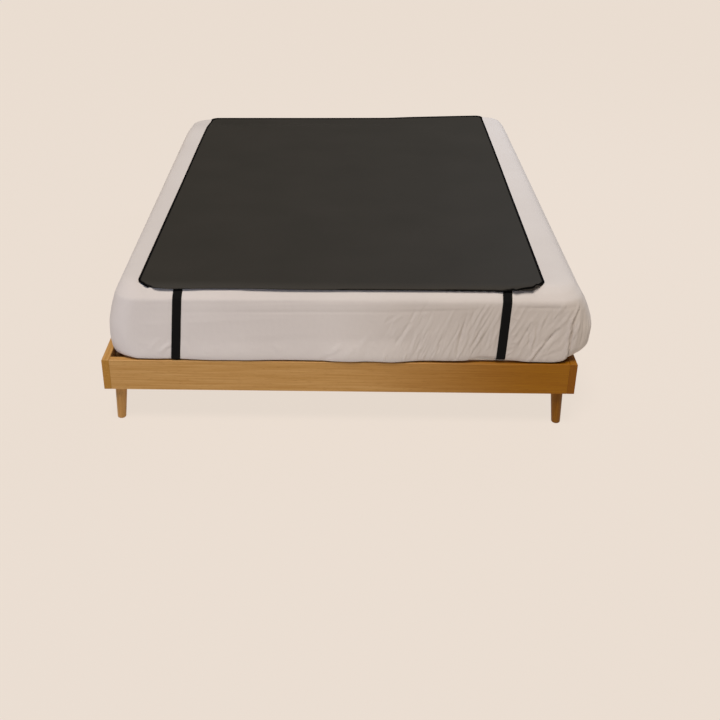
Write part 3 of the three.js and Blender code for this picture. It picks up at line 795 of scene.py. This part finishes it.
def stations(sides, corner_steps):
    """Places round a rounded rectangle, anticlockwise from the foot's left: the two corner centres that each
    lies between, its share of the way, and the angle that it faces. sides holds the shares for each straight
    side, and corner_steps the steps of the corner after it."""
    start, end, share, angle = [], [], [], []
    for side, (shares, steps) in enumerate(zip(sides, corner_steps)):
        facing = side * 90 - 90
        turn = np.linspace(0, 90, steps + 1)
        start += [side] * len(shares) + [(side + 1) % 4] * len(turn)
        end += [(side + 1) % 4] * (len(shares) + len(turn))
        share += [*shares, *np.zeros(len(turn))]
        angle += [*np.full(len(shares), facing), *(facing + turn)]
    return np.array(start), np.array(end), np.array(share), np.radians(angle)


def rings(levels, places):
    """Rounded rectangles, one for each level: the point between two corner centres, plus the corner radius in
    the direction that the place faces. Gives x, y and z as arrays of levels by places, and the distance along
    the foot end, which is x on its straight part and goes on round its corners as the radius times the
    turn."""
    start, end, share, angle = places
    radius = levels["corner"][:, None]
    left, right = -levels["left"][:, None] + radius, levels["right"][:, None] - radius
    foot, head = -levels["foot"][:, None] + radius, levels["head"][:, None] - radius
    centre_x = np.concatenate([left, right, right, left], 1)
    centre_y = np.concatenate([foot, foot, head, head], 1)
    x = centre_x[:, start] * (1 - share) + centre_x[:, end] * share + radius * np.cos(angle)
    y = centre_y[:, start] * (1 - share) + centre_y[:, end] * share + radius * np.sin(angle)
    turn = np.where(angle < np.pi / 2, np.clip(angle + np.pi / 2, 0, np.pi / 2),
                    -np.clip(3 * np.pi / 2 - angle, 0, np.pi / 2))
    around = x - radius * np.cos(angle) + radius * turn
    return x, y, np.broadcast_to(levels["z"][:, None], x.shape), around


def strap_middle(name, z):
    line = STRAPS[name]
    share = (CROWN - z) / (CROWN - FORM["z"][-1])
    return line["foot_top"] + (line["foot_bottom"] - line["foot_top"]) * share


def hem_share(z):
    """1 about the lowest fold of the sheet, and 0 well above it and on the underside."""
    return ease(z, 335, 268) * (1 - ease(z, 247, 238))


def foot_relief(a, z):
    """How far the sheet's foot end stands out of the plain form, and how far it is raised, at a distance a
    along it and a height z: creases, slow unevenness, the waves of the hem, and a shallow trough under each
    strap, where nothing else stands out."""
    pressed = sum(np.exp(-(((a - strap_middle(name, z)) / STRAP["press"]) ** 4)) for name in STRAPS)
    hem = hem_share(z)
    depth = DEPTH["left"] - (DEPTH["left"] - DEPTH["right"]) * ease(a, DEPTH["start"], DEPTH["end"])
    out = depth * creases(FOOT_CREASES, a, z) + creases(FINE, a, z)
    slow = np.sin(a / 41 + z / 57) * np.sin(z / 73 - a / 160) * ease(z, 480, 440)
    out = out + (0.5 + ease(a, 60, 330)) * slow
    out = out * (1 - pressed) - STRAP["sink"] * pressed * ease(z, 505, 480)
    return out + smooth(HEM, "x", a, "out") * hem, smooth(HEM, "x", a, "up") * hem


def side_relief(columns, along, z):
    """The same for a long side or the head end, whose hem has slow waves."""
    hem = hem_share(z)
    wave = 2.2 * np.sin(along / 61) + 1.4 * np.sin(along / 23 + 1.3)
    return creases(columns, along, z) + wave * hem, np.maximum(wave, 0) * hem


def relieved(x, y, z, around, angle):
    """The sheet's points with the relief of each end and side. The foot end's goes round its corners, and the
    others share the rest by the way that the point faces."""
    foot = np.broadcast_to(ease(-np.sin(angle), 0, 0.3), x.shape)
    head = (1 - foot) * np.clip(np.sin(angle), 0, 1) ** 2
    side = 1 - foot - head
    shares = ((foot, foot_relief(around, z)), (head, side_relief(HEAD_CREASES, x, z)),
              (side * (np.cos(angle) > 0), side_relief(RIGHT_CREASES, y, z)),
              (side * (np.cos(angle) <= 0), side_relief(LEFT_CREASES, y, z)))
    out = sum(share * relief[0] for share, relief in shares)
    up = sum(share * relief[1] for share, relief in shares)
    return np.stack([x + out * np.cos(angle), y + out * np.sin(angle), z + up + sag(x, y, z)], -1)


def sheet_levels(insets, profile, hem):
    """The form's levels with the crown's inset rings before them and the hem's inset rings after them."""
    levels, walked = form_at(profile)
    for inset in sorted(insets):
        for name in SIDES:
            levels[name] = np.concatenate([[FORM[name][0] - inset], levels[name]])
        levels["z"] = np.concatenate([[CROWN], levels["z"]])
        levels["corner"] = np.concatenate([[FORM["corner"][0]], levels["corner"]])
        walked = np.concatenate([[-inset], walked])
    for inset in hem:
        for name in SIDES:
            levels[name] = np.append(levels[name], FORM[name][-1] - inset)
        levels["z"] = np.append(levels["z"], FORM["z"][-1])
        levels["corner"] = np.append(levels["corner"], FORM["corner"][-1])
        walked = np.append(walked, walked[-1] + hem[0])
    return levels, walked


def fitted_sheet(finish):
    """Rounded rectangles carried down the form, with fine steps where the camera sees creases in the
    cloth."""
    spans = ((-654, -620, 4), (-620, -470, 26), (-470, -220, 18), (-220, 0, 30), (0, 130, 16),
             (130, 714, 226))
    foot = np.concatenate([np.linspace(start, end, steps, endpoint=False) for start, end, steps in spans])
    foot = (foot[1:] - spans[0][0]) / (spans[-1][1] - spans[0][0])
    right = np.linspace(0, 1, 68)[1:-1] ** 1.4
    places = stations([foot, right, np.linspace(0, 1, 52)[1:-1], np.linspace(0, 1, 52)[1:-1]], (60, 9, 9, 14))
    shoulder, face = 64, 308

    def profile(end):
        down = np.linspace(shoulder, face, 57)[1:]
        return np.concatenate([np.linspace(0, shoulder, 14), down, np.linspace(face, end, 8)[1:]])

    levels, walked = sheet_levels(SHEET["crown_insets"], profile, (SHEET["hem"] / 2, SHEET["hem"]))
    x, y, z, along = rings(levels, places)
    grid = relieved(x, y, z, along, places[3])
    widest = grid[30]
    u = lengths(np.concatenate([widest, widest[:1]]))
    # The share of crumpling, which also sets how much painted shade the cotton's colour takes on
    facing = np.clip(-np.sin(places[3]), 0, 1)
    front = ease(x, CRUMPLE_AND_SHADE["start"], CRUMPLE_AND_SHADE["end"]) * facing
    sides = CRUMPLE_AND_SHADE["sides"] * (1 - facing) ** 2
    crumple = np.maximum(front, sides) * ease(z, CRUMPLE_AND_SHADE["top"], CRUMPLE_AND_SHADE["full"])
    return cloth("sheet_washed_cotton", grid, grid_normals(grid, wrap=True), SHEET["thickness"], finish, u,
                 walked / 1000, wrap=True, cap=True, crumple=crumple, replaces=["fitted_sheet"], slot="sheet")


def mattress(finish):
    """The same rounded rectangles a little inside the sheet, closed above and below."""
    places = stations([np.linspace(0, 1, 42)[1:-1]] * 4, [8] * 4)
    levels, _ = sheet_levels(SHEET["crown_insets"], lambda end: np.linspace(0, end, 46), ())
    x, y, z, _ = rings(levels, places)
    grid = np.stack([x, y, z + sag(x, y, z)], -1)
    normals = grid_normals(grid, wrap=True)
    level = normals[..., 2:] ** 2
    deep = MATTRESS["side_inset"] + (MATTRESS["top_inset"] - MATTRESS["side_inset"]) * level
    grid = grid - normals * (deep + SHEET["thickness"] / 2)
    grid[..., 2] = np.maximum(grid[..., 2], MATTRESS["bottom"])
    faces = closed_faces(*grid.shape[:2])
    flat = grid.reshape(-1, 3) / 1000
    uv = np.concatenate([flat[face][:, [0, 1]] for face in faces])
    return put("mattress_ticking", grid, faces, finish, replaces=["mattress"], slot="mattress", uv=uv)


# Grounding mat

def mat_x(x, y):
    return MAT["centre"] + x + MAT["slant"] * y


def corner_cut(x, radius):
    """How much the rounded corners shorten a column at x: the radius less the root of its square less that of
    the distance into the corner."""
    into = np.maximum(radius - (MAT["half_width"] - np.abs(x)), 0)
    return radius - np.sqrt(np.maximum(radius**2 - into**2, 0))


def panel_height(x, y):
    lift = MAT["lift"] + (smooth(HEAD_LIFT, "x", x, "z") - MAT["lift"]) * np.clip(
        (y - MAT["head"] + MAT["lift_zone"]) / MAT["lift_zone"], 0, 1)
    calm = ease(np.abs(y), 900, 780)
    drift = 0.5 * np.sin(x / 97 + y / 210) + 0.4 * np.sin(y / 131 - x / 260 + 2)
    return CROWN + sag(mat_x(x, y), y, CROWN) + lift + (drift + 0.3) * calm


def panel():
    """The mat's middle surface as a grid of columns along the bed, with each point's upward direction. Past
    the flat part the foot end is worked out by adding short steps, each with the slope of the shoulder so
    far, which grows with the distance over the radius, plus the turn of the edge."""
    radius, half = MAT["corner"], MAT["half_width"]
    corner = half - radius + radius * np.cos(np.radians(np.linspace(0, 90, 13)))
    spans = ((-616, -560, 15), (-560, 300, 62), (300, 616, 66))
    inner = np.concatenate([np.linspace(*span)[1:] for span in spans])
    x = np.concatenate([-corner, inner[:-1], corner[::-1]])
    cut = corner_cut(x, radius)

    start = MAT["head"] - corner_cut(x, MAT["head_corner"])
    inside = MAT["head"] - radius - 15
    y = np.concatenate([start + (inside - start) * np.linspace(0, 1, 14)[:, None] ** 1.7,
                        np.broadcast_to(np.linspace(inside, -SHOULDER["zone"], 64)[1:, None], (63, len(x)))])
    curled = np.clip(1 - (start - y) / MAT["curl_width"], 0, 1)
    flat = np.stack([mat_x(x, y), y, panel_height(x, y) + MAT["curl"] * curled**2], -1)
    lean = 2 * MAT["curl"] / MAT["curl_width"] * curled
    flat_up = unit(np.stack([np.zeros_like(y), -lean, np.ones_like(y)], -1))

    edge = {name: smooth(FOOT_EDGE, "x", x, name) for name in FOOT_EDGE}
    reach = np.clip(x, SCALLOPS["x"][0], SCALLOPS["x"][-1])
    swing = smooth(SCALLOPS, "x", reach, "swing") * np.sin(2 * np.pi * x / SCALLOP_PITCH)
    turn = np.radians(edge["turn"] + swing)
    arc = np.abs(turn) * np.where(turn > 0, SHOULDER["turn_radius"], SHOULDER["up_radius"]) + 1e-6
    strip = arc + COVER + edge["extra"]
    bend_start = SHOULDER["start"] + edge["ease"] - SHOULDER["zone"]
    length = bend_start + edge["reach"] + strip - cut
    fine = 32
    rest = np.concatenate([fine + (length - fine) * np.linspace(1, 0, 28)[:, None],
                           np.broadcast_to(np.linspace(fine, 0, 41)[1:, None], (40, len(x)))])
    walked = length - rest
    middle = (walked[1:] + walked[:-1]) / 2
    step = np.diff(walked, axis=0)

    def slope(at):
        bend = np.clip((at - bend_start) / SHOULDER["radius"], 0, np.radians(edge["steepest"]))
        return bend + turn * np.clip((strip - (length - at)) / arc, 0, 1)

    y = flat[-1, :, 1] - np.cumsum(step * np.cos(slope(middle)), axis=0)
    z = flat[-1, :, 2] - np.cumsum(step * np.sin(slope(middle)), axis=0)
    foot = np.stack([mat_x(x, y), y, z], -1)
    angle = slope(walked[1:])
    foot_up = np.stack([np.zeros_like(angle), -np.sin(angle), np.cos(angle)], -1)

    grid, up = np.concatenate([flat, foot]), np.concatenate([flat_up, foot_up])
    grid = grid + up * creases(PUCKERS, grid[..., 0], grid[..., 1])[..., None] * (up[..., 2:] > 0)
    return grid, up


def mat_panel(grid, up, finish):
    u = np.concatenate([[0], np.cumsum(np.diff(grid[40, :, 0]))]) / 1000
    v = lengths(grid[:, grid.shape[1] // 2])
    return cloth("mat_leatherette", grid, up, MAT["thickness"], finish, u, v, replaces=["mat"], slot="mat")


def outline(grid, up):
    """The panel's edge, anticlockwise from its foot's left, with the outward direction at each point: the way
    along the edge crossed with the upward direction."""
    loop = np.concatenate([grid[-1, :-1], grid[:0:-1, -1], grid[0, :0:-1], grid[:-1, 0]])
    lift = np.concatenate([up[-1, :-1], up[:0:-1, -1], up[0, :0:-1], up[:-1, 0]])
    along = unit(np.roll(loop, -1, 0) - np.roll(loop, 1, 0))
    return loop, unit(np.cross(along, lift)), lift


def edge_tape(loop, outward, lift, finish):
    """A tape folded over the panel's edge: a U-shaped section with full, soft lips carried round the
    outline."""
    out = np.array([-6.3, -6.6, -6.3, -5.2, -3.4, -1.4, 0.4, 1.6, 2.1])
    high = np.array([1.15, 1.45, 1.85, 2.15, 2.3, 2.3, 2.1, 1.2, 0])
    inner = [(0.35, -1.15), (0.6, 0), (0.35, 1.15)]
    section = np.array([*zip(out, high), *zip(out[-2::-1], -high[-2::-1]), *inner])[::-1]
    ring = loop[:, None] + outward[:, None] * section[:, :1] + lift[:, None] * section[:, 1:]
    rows, columns = ring.shape[:2]
    row, column = quads(rows, columns, wrap=True, loop=True)
    faces = ((row % rows) * columns + column % columns).tolist()
    u = lengths(np.concatenate([loop, loop[:1]]))
    v = lengths(np.concatenate([section, section[:1]]))
    uv = np.stack([u[row], v[column]], -1).reshape(-1, 2)
    return put("mat_edge_tape", ring, faces, finish, replaces=["mat_binding"], slot="binding", uv=uv)


def stitches(loop, outward, lift, finish):
    """Thread along the tape's inner lip, above and below: each stitch is a short lens, whose four rings of
    six points shrink towards its ends, laid along the outline at an even pitch."""
    pitch, length, radius, inset, height = 4.0, 3.1, 0.4, -5.0, 2.2
    closed = [np.concatenate([part, part[:1]]) for part in (loop, outward, lift)]
    walked = lengths(closed[0]) * 1000
    at = np.arange(0, walked[-1] - pitch, pitch)

    def along(part, where):
        return np.stack([np.interp(where, walked, part[:, k]) for k in range(3)], -1)

    t = np.array([-0.5, -0.3, 0.3, 0.5])
    size = np.array([0.35, 1.0, 1.0, 0.35])
    angle = np.arange(6) * np.pi / 3
    points, faces = [], []
    one = closed_faces(len(t), len(angle))
    each = len(t) * len(angle)
    middle, outer, lifted = (along(part, at[:, None] + t * length) for part in closed)
    a = outer[:, :, None] * np.cos(angle)[:, None] * radius * size[:, None, None]
    b = lifted[:, :, None] * np.sin(angle)[:, None] * radius * size[:, None, None]
    for side in (1, -1):
        centre = middle + outer * inset + lifted * height * side
        points.append((centre[:, :, None] + a + b).reshape(-1, 3))
    for start in range(0, 2 * each * len(at), each):
        faces += [[start + corner for corner in face] for face in one]
    return put("mat_edge_stitches", np.concatenate(points), faces, finish, slot="binding")


def strap_path(name):
    """The strap's middle line: from under the mat's foot edge down over the sheet, straight on below the
    mattress and up to the mat's head edge, moved out of the sheet's middle surface by the two half
    thicknesses and the clearance. Gives its points and outward directions."""
    line = STRAPS[name]
    levels, _ = form_at(lambda end: np.linspace(0, end, 150))
    middle = strap_middle(name, levels["z"])
    out, up = foot_relief(middle, levels["z"])
    foot = np.stack([middle, -levels["foot"] - out, levels["z"] + up], -1)
    share = (CROWN - levels["z"]) / (CROWN - FORM["z"][-1])
    head_x = line["head_top"] + (line["head_bottom"] - line["head_top"]) * share
    wave, _ = side_relief(HEAD_CREASES, head_x, levels["z"])
    head_z = levels["z"] + sag(head_x, levels["head"], levels["z"])
    head = np.stack([head_x, levels["head"] + wave, head_z], -1)[::-1]
    first = foot[0] + [[0, STRAP["under_mat"] - k, 0] for k in range(0, STRAP["under_mat"], 5)]
    below = foot[-1] + (head[0] - foot[-1]) * np.linspace(0, 1, 42)[1:-1, None]
    last = [[line["head_top"], y, CROWN + float(sag(line["head_top"], y, CROWN))]
            for y in FORM["head"][0] - np.arange(5, STRAP["under_mat"] + 1, 5)]
    path = np.concatenate([first, foot, below, head, last])
    run = unit(np.gradient(path, axis=0) * [0, 1, 1])
    outward = np.stack([np.zeros(len(run)), run[:, 2], -run[:, 1]], -1)
    kernel = np.array([1, 3, 4, 3, 1]) / 12
    soft = np.stack([np.convolve(np.pad(outward[:, k], 2, "edge"), kernel, "valid") for k in range(3)], -1)
    outward = unit(soft)
    return path + outward * (SHEET["thickness"] / 2 + STRAP["clearance"] + STRAP["thickness"] / 2), outward


def strap(name, finish):
    """A flat band along its path. Its outer and inner faces are ribbed along the band: a cosine across it."""
    path, outward = strap_path(name)
    across = np.linspace(-0.5, 0.5, 61) * STRAP["width"]
    grid = path[:, None] + np.stack([across, np.zeros(61), np.zeros(61)], -1)
    up = np.broadcast_to(outward[:, None], grid.shape)
    rib = STRAP["rib_height"] * np.cos(2 * np.pi * across / STRAP["rib"])
    thickness = np.broadcast_to(STRAP["thickness"] - STRAP["rib_height"] + rib, grid.shape[:2])
    return cloth(name + "_elastic", grid, up, thickness, finish, across / 1000, lengths(path),
                 replaces=[name], slot="strap")


# Bed frame

def leg(name, x, y, height, finish, splay=(0, 0)):
    """A turned leg: a tapered profile with a rounded foot, spun round its axis, which leans out to the
    foot."""
    r, around = LEG["rounding"], LEG["around"]
    turn = np.radians(np.linspace(0, 90, 8))
    taper = np.linspace(LEG["foot"] + 0.2, LEG["top"], 12)
    radius = np.concatenate([LEG["foot"] - r + r * np.sin(turn), taper])[::-1, None]
    z = np.concatenate([r - r * np.cos(turn), np.linspace(r + 4, height, 12)])[::-1, None]
    angle = np.linspace(0, 2 * np.pi, around + 1)[:-1]
    lean = 1 - z / height
    body = np.stack([x + splay[0] * lean + radius * np.cos(angle),
                     y + splay[1] * lean + radius * np.sin(angle), np.broadcast_to(z, (len(z), around))], -1)
    put(name + "_turned", body, closed_faces(*body.shape[:2]), finish, "oak", replaces=[name])


def bed_frame(nodes):
    rail_tones = ("#cfa468", "#c79a5b", "#b78849", "#96682f")
    # Painted shade that the oak takes on towards the right of the bed, where the light falls off
    deep = "#c8aa32"
    across = wood("oiled_oak_across", rail_tones, "X", painted_shade_to_right=deep)
    along = wood("oiled_oak_along", rail_tones, "Y", end="#e8dcaa", painted_shade_to_right=deep)
    # The legs take a darker painted shade towards the right, where the right legs stand in shade
    turned = wood("oiled_oak_turned", ("#d2a669", "#c49656", "#ae7e42", "#8c6129"), "Z", painted_shade_to_right="#b49a32")
    # Sawn pine made darker than it is, as painted shade for the inside of the frame
    pine = ("#8f7350", "#846744", "#775c3c", "#5e472c")
    for name in ("rail_foot", "rail_head"):
        nodes[name].data.materials[0] = across
    for name in ("rail_left", "rail_right"):
        nodes[name].data.materials[0] = along
    sawn = {axis: wood("sawn_pine_" + axis.lower(), pine, axis, roughness=0.6) for axis in "XY"}
    for name, node in nodes.items():
        if name.startswith("slat_") or name.startswith("block_"):
            node.data.materials[0] = sawn["X"]
        if name.startswith("ledge_") or name == "centre_beam":
            node.data.materials[0] = sawn["Y"]
    for end, sy in (("foot", -1), ("head", 1)):
        for side, sx in (("left", -1), ("right", 1)):
            leg(f"leg_{end}_{side}", sx * (FRAME_SIZE["half_width"] - LEG["inset_x"]),
                sy * (FRAME_SIZE["half_length"] - LEG["inset_y"]), LEG["height"], turned,
                (sx * LEG["splay_x"], sy * LEG["splay_y"]))
        leg(f"leg_centre_{end}", 0, sy * CENTRE_LEG["spacing"], CENTRE_LEG["height"], turned)


camera()
studio()
bed_frame(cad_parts)

FINE = fine_creases()
cotton = washed_cotton()
ticking = woven_cloth("knitted_ticking", ("#ded8cd", "#e8e3da"), 2.5, 0.9, 0.1, 1.0)
tape = woven_cloth("woven_edge_tape", ("#070606", "#0b0a09"), 0.8, 0.9, 0.0, 0.3, Specular_IOR_Level=0.05)
elastic = woven_cloth("ribbed_elastic", ("#070707", "#0b0b0b"), 0.9, 0.8, 0.0, 0.2, Specular_IOR_Level=0.15)
thread = plain("polyester_thread", "#191716", 0.6)

base = mattress(ticking)
sheet = fitted_sheet(cotton)
panel_grid, panel_up = panel()
mat = mat_panel(panel_grid, panel_up, conductive_leatherette())
edge = outline(panel_grid, panel_up)
binding = edge_tape(*edge, tape)
seam = stitches(*edge, thread)
straps = [strap(name, elastic) for name in STRAPS]
